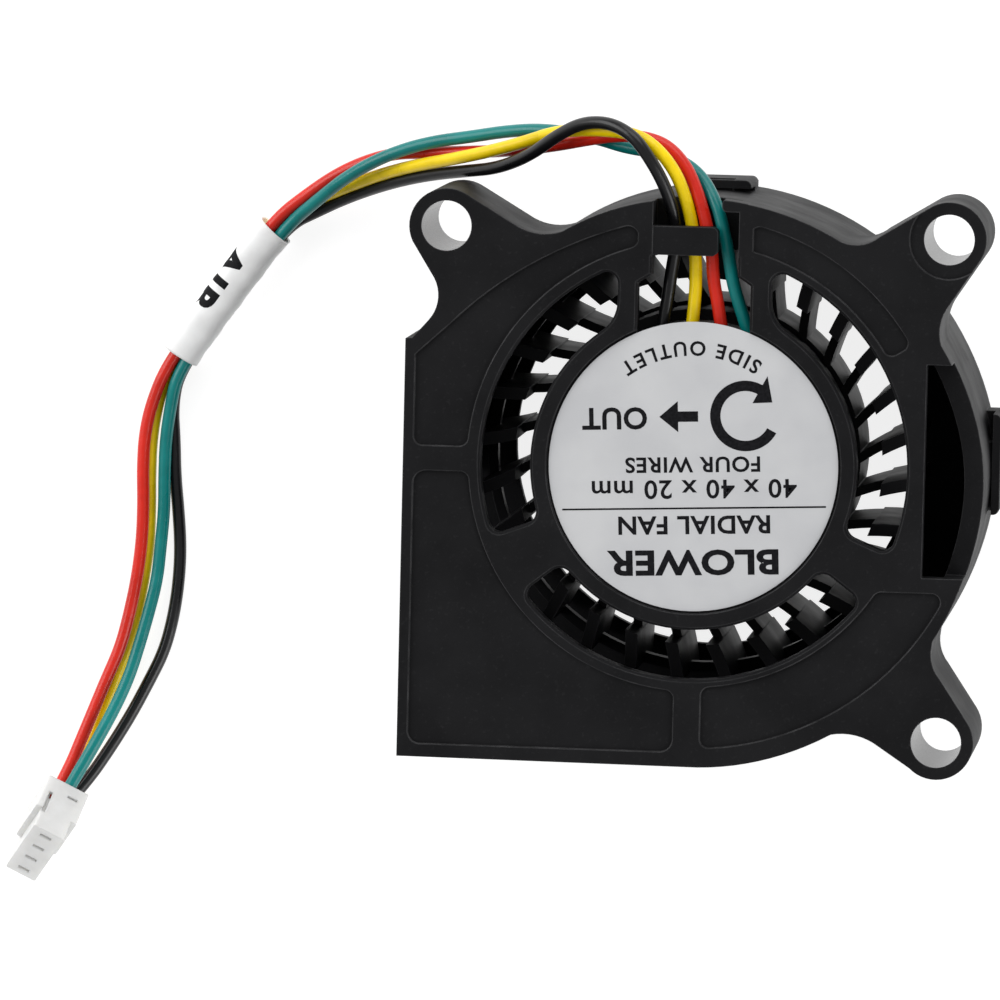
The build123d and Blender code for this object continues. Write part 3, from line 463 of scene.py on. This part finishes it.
def dress_nodes():
    """Each CAD node's material: moulded parts first, then motor, shaft and connector."""
    # The third colour of each plastic is its painted edge highlight; its pale flecks use it too.
    casing = moulded_plastic("casing_black", (0.0085, 0.0085, 0.0092), (0.0115, 0.0115, 0.0124),
                             (0.085, 0.085, 0.088), 0.5, 0.00016, 0.00013, HOLES)
    # The impeller's black is darker than the casing's: painted shade, against the light that the
    # glowing table throws up onto its cup.
    impeller = moulded_plastic("impeller_black", (0.005, 0.005, 0.0055), (0.008, 0.008, 0.009),
                               (0.035, 0.035, 0.037), 0.45, 0.0002, 0.00012)
    dress(["front_casing", "rear_casing"], casing)
    dress(["impeller"], impeller)
    dress(["label_disc"], label_film())
    dress(["stator_core"], laminations())
    dress(["winding_1", "winding_2", "winding_3", "winding_4"], enamelled_copper())
    dress(["bobbin_upper", "bobbin_lower"],
          plain_solid("bobbin_nylon", (0.5, 0.48, 0.42), (0.62, 0.6, 0.54), 0.45))
    dress(["circuit_board"],
          plain_solid("solder_mask", (0.008, 0.055, 0.022), (0.014, 0.09, 0.035), 0.35))
    dress(["driver_chip", "hall_sensor"],
          plain_solid("epoxy_package", (0.012, 0.012, 0.013), (0.022, 0.022, 0.024), 0.55))
    dress(["board_capacitor"],
          plain_solid("ceramic_body", (0.34, 0.22, 0.12), (0.45, 0.3, 0.17), 0.5))
    dress(["solder_joints"], metal("solder", (0.55, 0.55, 0.56), (0.75, 0.75, 0.76), 0.25))
    dress(["bearing_sleeve"], metal("sintered_bronze", (0.4, 0.24, 0.1), (0.55, 0.36, 0.17), 0.5,
                                    0.0001, depth=0.000008))
    dress(["thrust_washer"],
          plain_solid("washer_polymer", (0.5, 0.44, 0.3), (0.62, 0.56, 0.4), 0.4))
    dress(["rotor_yoke"], metal("zinc_plated_steel", (0.42, 0.43, 0.44), (0.6, 0.61, 0.62), 0.35))
    dress(["magnet_ring"],
          plain_solid("bonded_ferrite", (0.02, 0.019, 0.019), (0.035, 0.034, 0.034), 0.6))
    dress(["shaft"], metal("ground_steel", (0.6, 0.6, 0.6), (0.75, 0.75, 0.75), 0.18, 0.0001,
                           (1.0, 1.0, 8.0)))
    dress(["retaining_clip"],
          plain_solid("clip_polymer", (0.6, 0.6, 0.56), (0.72, 0.72, 0.68), 0.4))
    dress(["oil_ring"], plain_solid("seal_rubber", (0.01, 0.01, 0.01), (0.02, 0.02, 0.02), 0.7))
    dress(["connector_housing"], natural_nylon())
    dress(["connector_contacts"],
          metal("tinned_contact", (0.6, 0.6, 0.58), (0.78, 0.78, 0.76), 0.28))


# ---------------------------------------------------------------- wires and marker sleeve
def curve_through(name, points, radius):
    """A smooth tube round one open NURBS spline with these control points."""
    curve = bpy.data.curves.new(name, "CURVE")
    curve.dimensions = "3D"
    spline = curve.splines.new("NURBS")
    spline.points.add(len(points) - 1)
    for control, place in zip(spline.points, points):
        control.co = (*place, 1.0)
    spline.order_u = 3
    spline.use_endpoint_u = True
    spline.resolution_u = 10
    curve.bevel_depth = radius
    curve.bevel_resolution = 7
    curve.use_fill_caps = radius > 0
    piece = bpy.data.objects.new(name, curve)
    bpy.context.scene.collection.objects.link(piece)
    return piece


def spline_points(points):
    """The points that a NURBS spline with these control points passes through."""
    guide = curve_through("guide", points, 0.0)
    mesh = bpy.data.meshes.new_from_object(guide)
    line = [vertex.co.copy() for vertex in mesh.vertices]
    bpy.data.meshes.remove(mesh)
    curve = guide.data
    bpy.data.objects.remove(guide)
    bpy.data.curves.remove(curve)
    return line


class Path:
    """A line of points that gives, at any distance, a place and the ways across and up from it."""

    def __init__(self, points):
        self.points = points
        self.marks = [0.0]
        for before, after in zip(points, points[1:]):
            self.marks.append(self.marks[-1] + (after - before).length)

    def at(self, distance):
        distance = min(max(distance, 0.0), self.marks[-1])
        index = 0
        while index < len(self.points) - 2 and self.marks[index + 1] < distance:
            index += 1
        share = (distance - self.marks[index]) / (self.marks[index + 1] - self.marks[index])
        place = self.points[index].lerp(self.points[index + 1], share)
        earlier = self.points[max(index - 1, 0)]
        later = self.points[min(index + 2, len(self.points) - 1)]
        along = (later - earlier).normalized()
        side = along.cross(Vector((0, 0, 1))).normalized()
        return place, side, side.cross(along)


def lead_wires():
    """The four wires of the lead, each a tube from the drive board to the connector that rides with
    the housing.
    """
    wires = []
    for name, points in ROUTES.items():
        wire = curve_through("lead_" + name, points, WIRE_RADIUS)
        wire.data.materials.append(wire_insulation("pvc_" + name, WIRE_COLOURS[name]))
        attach(wire, "housing")
        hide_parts(name)
        wires.append(wire)
    return wires


def sleeve_path():
    """The line along the middle of the four wires where they pass through the sleeve."""
    path = Path(spline_points([SLEEVE_APPROACH, *SLEEVE_AXIS, SLEEVE_DEPARTURE]))
    start = Vector(SLEEVE_AXIS[0])
    distances = [(point - start).length for point in path.points]
    start_mark = path.marks[distances.index(min(distances))]
    return path, start_mark + SLEEVE_START


def sleeve_radius(distance, angle):
    """The sleeve's outer radius: a rounded square over four wires, with slow creases."""
    shape = SLEEVE_MEAN_SHAPE - SLEEVE_SQUARENESS * math.cos(4 * angle)
    for depth, waves, turns in SLEEVE_CREASES:
        shape += depth * math.sin(waves * distance + turns * angle)
    return SLEEVE_OUTER * shape


def sleeve_point(path, start, distance, angle, lift=0.0, share=1.0):
    """A point on the flattened sleeve, or inside it at a share of its radius."""
    place, side, up = path.at(start + distance)
    radius = sleeve_radius(distance, angle) * share + lift
    across = SLEEVE_SHIFT + radius * SLEEVE_FLATTENING[0] * math.cos(angle)
    return place + across * side + radius * SLEEVE_FLATTENING[1] * math.sin(angle) * up


def sleeve_ring(mesh, path, start, distance, share=1.0):
    """One ring of vertices round the sleeve, or round its bore at a share of its radius."""
    angles = [2 * math.pi * turn / SLEEVE_SEGMENTS for turn in range(SLEEVE_SEGMENTS)]
    return [
        mesh.verts.new(sleeve_point(path, start, distance, angle, share=share))
        for angle in angles
    ]


def marker_sleeve(material):
    """The heat-shrink marker: a thin-walled tube, its outside and bore joined at both ends."""
    path, start = sleeve_path()
    mesh = bmesh.new()
    rows = []
    for index in range(SLEEVE_RINGS + 1):
        distance = SLEEVE_LENGTH * index / SLEEVE_RINGS
        rows.append(sleeve_ring(mesh, path, start, distance))
    for distance in (SLEEVE_LENGTH - SLEEVE_LIP / 2, SLEEVE_LIP / 2):
        rows.append(sleeve_ring(mesh, path, start, distance, SLEEVE_BORE / SLEEVE_OUTER))
    for row, following in zip(rows, rows[1:] + rows[:1]):
        for turn in range(SLEEVE_SEGMENTS):
            nearby = (turn + 1) % SLEEVE_SEGMENTS
            mesh.faces.new((row[turn], row[nearby], following[nearby], following[turn]))
    bmesh.ops.recalc_face_normals(mesh, faces=mesh.faces)
    sleeve = add_mesh("marker_sleeve_tube", mesh, material, smooth=True)
    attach(sleeve, "housing")
    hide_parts("marker_sleeve")
    return sleeve, path, start


def add_mesh(name, mesh, material, smooth=False):
    """Turns a finished bmesh into an object with one material."""
    data = bpy.data.meshes.new(name)
    mesh.to_mesh(data)
    mesh.free()
    data.materials.append(material)
    for face in data.polygons:
        face.use_smooth = smooth
    piece = bpy.data.objects.new(name, data)
    bpy.context.scene.collection.objects.link(piece)
    return piece


# ---------------------------------------------------------------- lettering
def letter_mesh(text, height, weight, spacing, width, detail):
    """Raised letters as a bmesh, centred on the origin, subdivided enough to be bent."""
    font_curve = bpy.data.curves.new("letters", "FONT")
    font_curve.body = text
    font_curve.size = height / CAP_HEIGHT
    font_curve.align_x = "CENTER"
    font_curve.align_y = "CENTER"
    font_curve.space_character = spacing
    font_curve.offset = weight * height
    font_curve.extrude = 0.5
    font_curve.resolution_u = 4
    holder = bpy.data.objects.new("letters", font_curve)
    bpy.context.scene.collection.objects.link(holder)
    data = bpy.data.meshes.new_from_object(holder)
    mesh = bmesh.new()
    mesh.from_mesh(data)
    bpy.data.meshes.remove(data)
    bpy.data.objects.remove(holder)
    bpy.data.curves.remove(font_curve)
    bmesh.ops.remove_doubles(mesh, verts=mesh.verts, dist=height * 0.002)
    if detail > 0:
        bmesh.ops.triangulate(mesh, faces=mesh.faces)
        bisect_mesh(mesh, height * detail)
    for vertex in mesh.verts:
        vertex.co.x *= width
    return mesh


def bisect_mesh(mesh, step):
    """Cuts the mesh along evenly spaced planes across X and Y, so that it can bend."""
    for axis in (0, 1):
        low = min(vertex.co[axis] for vertex in mesh.verts)
        high = max(vertex.co[axis] for vertex in mesh.verts)
        for index in range(1, int((high - low) / step) + 1):
            plane_point = Vector((0, 0, 0))
            plane_point[axis] = low + index * step
            normal = Vector((0, 0, 0))
            normal[axis] = 1
            geometry = mesh.verts[:] + mesh.edges[:] + mesh.faces[:]
            bmesh.ops.bisect_plane(mesh, geom=geometry, plane_co=plane_point, plane_no=normal)


def lettering(name, text, height, place, material, weight, spacing, width, detail):
    """Text laid on a surface.

    The place function gives the point for a position and a height off the surface. A detail above
    0 cuts the letters into steps of that share of their height, so that they can bend.
    """
    mesh = letter_mesh(text, height, weight, spacing, width, detail)
    for vertex in mesh.verts:
        lift = INK_THICKNESS if vertex.co.z > 0 else -INK_THICKNESS / 2
        vertex.co = place(vertex.co.x, vertex.co.y, lift)
    bmesh.ops.recalc_face_normals(mesh, faces=mesh.faces)
    piece = add_mesh(name, mesh, material)
    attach(piece, "housing")
    return piece


def label_frame():
    """Where the label's own axes lie: X along its lines of text, Z off its surface."""
    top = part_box("label_disc")[1].z
    return Matrix.Translation((0, 0, top)) @ Matrix.Rotation(math.radians(LABEL_TURN), 4, "Z")


def label_print(material):
    """Generic words, a line and two arrows on the label."""
    matrix = label_frame()

    def flat(centre_x, centre_y):
        return lambda x, y, lift: matrix @ Vector((centre_x + x, centre_y + y, lift))

    def arched(radius):
        def place(x, y, lift):
            angle = -math.pi / 2 + x / radius
            distance = radius - y
            return matrix @ Vector((distance * math.cos(angle), distance * math.sin(angle), lift))
        return place

    lines = [
        # name, text, capital height, place, weight, letter spacing, width, detail
        ("label_title", "BLOWER", 0.00166, flat(0.0, 0.0066), 0.045, 1.04, 1.22, 0.0),
        ("label_kind", "RADIAL FAN", 0.00122, flat(0.0, 0.0040), 0.035, 1.06, 1.05, 0.0),
        ("label_size", "40 x 40 x 20 mm", 0.00128, flat(0.0, 0.0015), 0.02, 1.08, 1.05, 0.0),
        ("label_rating", "FOUR WIRES", 0.00104, flat(0.0, -0.0002), 0.03, 1.08, 1.05, 0.0),
        ("label_flow", "OUT", 0.00146, flat(0.0054, -0.0035), 0.035, 1.05, 1.0, 0.0),
        ("label_arc", "SIDE OUTLET", 0.00098, arched(0.0083), 0.03, 1.25, 1.0, 0.4),
    ]
    for name, text, height, place, weight, spacing, width, detail in lines:
        piece = lettering(name, text, height, place, material, weight, spacing, width, detail)
    rule_and_arrow(matrix, material)


def rule_and_arrow(matrix, material):
    """The thin line across the label, a round arrow for the rotor and a straight one for the air."""
    mesh = bmesh.new()
    label_rule(mesh)
    turning_arrow(mesh)
    flow_arrow(mesh)
    bmesh.ops.remove_doubles(mesh, verts=mesh.verts, dist=1e-7)
    bmesh.ops.recalc_face_normals(mesh, faces=mesh.faces)
    mesh.transform(matrix)
    piece = add_mesh("label_rule_and_arrow", mesh, material)
    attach(piece, "housing")


def label_rule(mesh):
    half_length = math.sqrt(RULE_REACH ** 2 - RULE_HEIGHT ** 2)
    low = RULE_HEIGHT - RULE_HALF_THICKNESS
    high = RULE_HEIGHT + RULE_HALF_THICKNESS
    extruded_face(mesh, [(-half_length, low), (half_length, low),
                         (half_length, high), (-half_length, high)])


def turning_arrow(mesh):
    """The round arrow: short steps of a ring and a three-cornered head."""
    start = math.radians(TURN_START)
    end = math.radians(TURN_END)
    inner = TURN_RADIUS - STROKE
    outer = TURN_RADIUS + STROKE
    for index in range(TURN_STEPS):
        first = start + (end - start) * index / TURN_STEPS
        second = start + (end - start) * (index + 1) / TURN_STEPS
        polar_face(mesh, [(inner, first), (inner, second), (outer, second), (outer, first)])
    tip = start - math.radians(TURN_HEAD)
    polar_face(mesh, [(TURN_RADIUS - 3 * STROKE, start), (TURN_RADIUS, tip),
                      (TURN_RADIUS + 3 * STROKE, start)])


def polar_face(mesh, corners):
    """A printed patch whose corners are distances and angles from the round arrow's centre."""
    extruded_face(mesh, [(TURN_CENTRE.x + distance * math.cos(angle),
                          TURN_CENTRE.y + distance * math.sin(angle))
                         for distance, angle in corners])


def flow_arrow(mesh):
    """The straight arrow: a tail and a three-cornered head."""
    low = FLOW_HEIGHT - STROKE
    high = FLOW_HEIGHT + STROKE
    extruded_face(mesh, [(FLOW_NECK, low), (FLOW_NECK, high), (FLOW_TAIL, high), (FLOW_TAIL, low)])
    extruded_face(mesh, [(FLOW_NECK, FLOW_HEIGHT - 3 * STROKE), (FLOW_TIP, FLOW_HEIGHT),
                         (FLOW_NECK, FLOW_HEIGHT + 3 * STROKE)])


def extruded_face(mesh, corners):
    """A thin printed patch with that outline."""
    top = [mesh.verts.new((x, y, INK_THICKNESS)) for x, y in corners]
    low = [mesh.verts.new((x, y, -INK_THICKNESS / 2)) for x, y in corners]
    mesh.faces.new(top)
    mesh.faces.new(low[::-1])
    for index in range(len(corners)):
        following = (index + 1) % len(corners)
        mesh.faces.new((low[index], low[following], top[following], top[index]))


def sleeve_print(path, start, material):
    """The generic word on the marker, wrapped from its top round the side away from the fan."""
    def place(x, y, lift):
        angle = math.radians(WORD_ANGLE) - (WORD_HEIGHT / 2 - y) / SLEEVE_OUTER
        return sleeve_point(path, start, WORD_MIDDLE + x, angle, lift)

    piece = lettering("sleeve_word", "AIR", WORD_HEIGHT, place, material, 0.06, 1.2, 1.06, 0.06)
    return piece


# ---------------------------------------------------------------- studio
def floor():
    """A plain pale table that glows a little, like a light table for catalogue pictures."""
    mesh = bmesh.new()
    half = FLOOR_HALF_WIDTH
    corners = [(-half, -half, 0), (half, -half, 0), (half, half, 0), (-half, half, 0)]
    mesh.faces.new([mesh.verts.new(corner) for corner in corners])
    finish = Finish("pale_table", IOR=1.4)
    finish.shader.inputs["Emission Color"].default_value = (1.0, 1.0, 1.0, 1.0)
    finish.shader.inputs["Emission Strength"].default_value = FLOOR_GLOW
    cloud = finish.noise(0.15, 2.0)
    colour = finish.mix(cloud, (0.3, 0.3, 0.3), (0.31, 0.31, 0.31))
    table = add_mesh("table", mesh, finish.finish(colour, finish.ramp(cloud, 0.7, 0.8)))
    table.location.z = -FLOOR_DROP


def lights():
    """Three square softboxes that face the part, and an even white surrounding."""
    for name, place, size, watts in LIGHTS:
        data = bpy.data.lights.new(name, "AREA")
        data.shape = "SQUARE"
        data.size = size
        data.energy = watts
        lamp = bpy.data.objects.new(name, data)
        bpy.context.scene.collection.objects.link(lamp)
        lamp.location = place
        lamp.rotation_euler = Vector(place).to_track_quat("Z", "Y").to_euler()
    world = bpy.data.worlds.new("studio")
    world.use_nodes = True
    background = world.node_tree.nodes["Background"]
    background.inputs["Color"].default_value = (1, 1, 1, 1)
    background.inputs["Strength"].default_value = WORLD_STRENGTH
    bpy.context.scene.world = world


def camera():
    """The view from above the label side, turned a little about its own axis."""
    data = bpy.data.cameras.new("camera")
    data.lens = CAMERA_LENS
    data.sensor_width = CAMERA_SENSOR
    data.clip_start = CAMERA_NEAREST
    shot = bpy.data.objects.new("camera", data)
    bpy.context.scene.collection.objects.link(shot)
    forward = (CAMERA_TARGET - CAMERA_PLACE).normalized()
    right = forward.cross(Vector((0, 1, 0))).normalized()
    up = right.cross(forward)
    roll = math.radians(CAMERA_ROLL)
    rolled_right = right * math.cos(roll) + up * math.sin(roll)
    rolled_up = up * math.cos(roll) - right * math.sin(roll)
    turn = Matrix((rolled_right, rolled_up, -forward)).transposed()
    shot.matrix_world = Matrix.Translation(CAMERA_PLACE) @ turn.to_4x4()
    bpy.context.scene.camera = shot


def main():
    camera()
    dress_nodes()
    wires = lead_wires()
    sleeve, path, start = marker_sleeve(shrink_tubing())
    word = sleeve_print(path, start, print_ink("sleeve_ink"))
    label_print(print_ink("label_ink"))
    for wire, (name, points) in zip(wires, ROUTES.items()):
        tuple(points[0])
    floor()
    lights()
    bpy.context.scene.view_settings.view_transform = "Standard"


main()
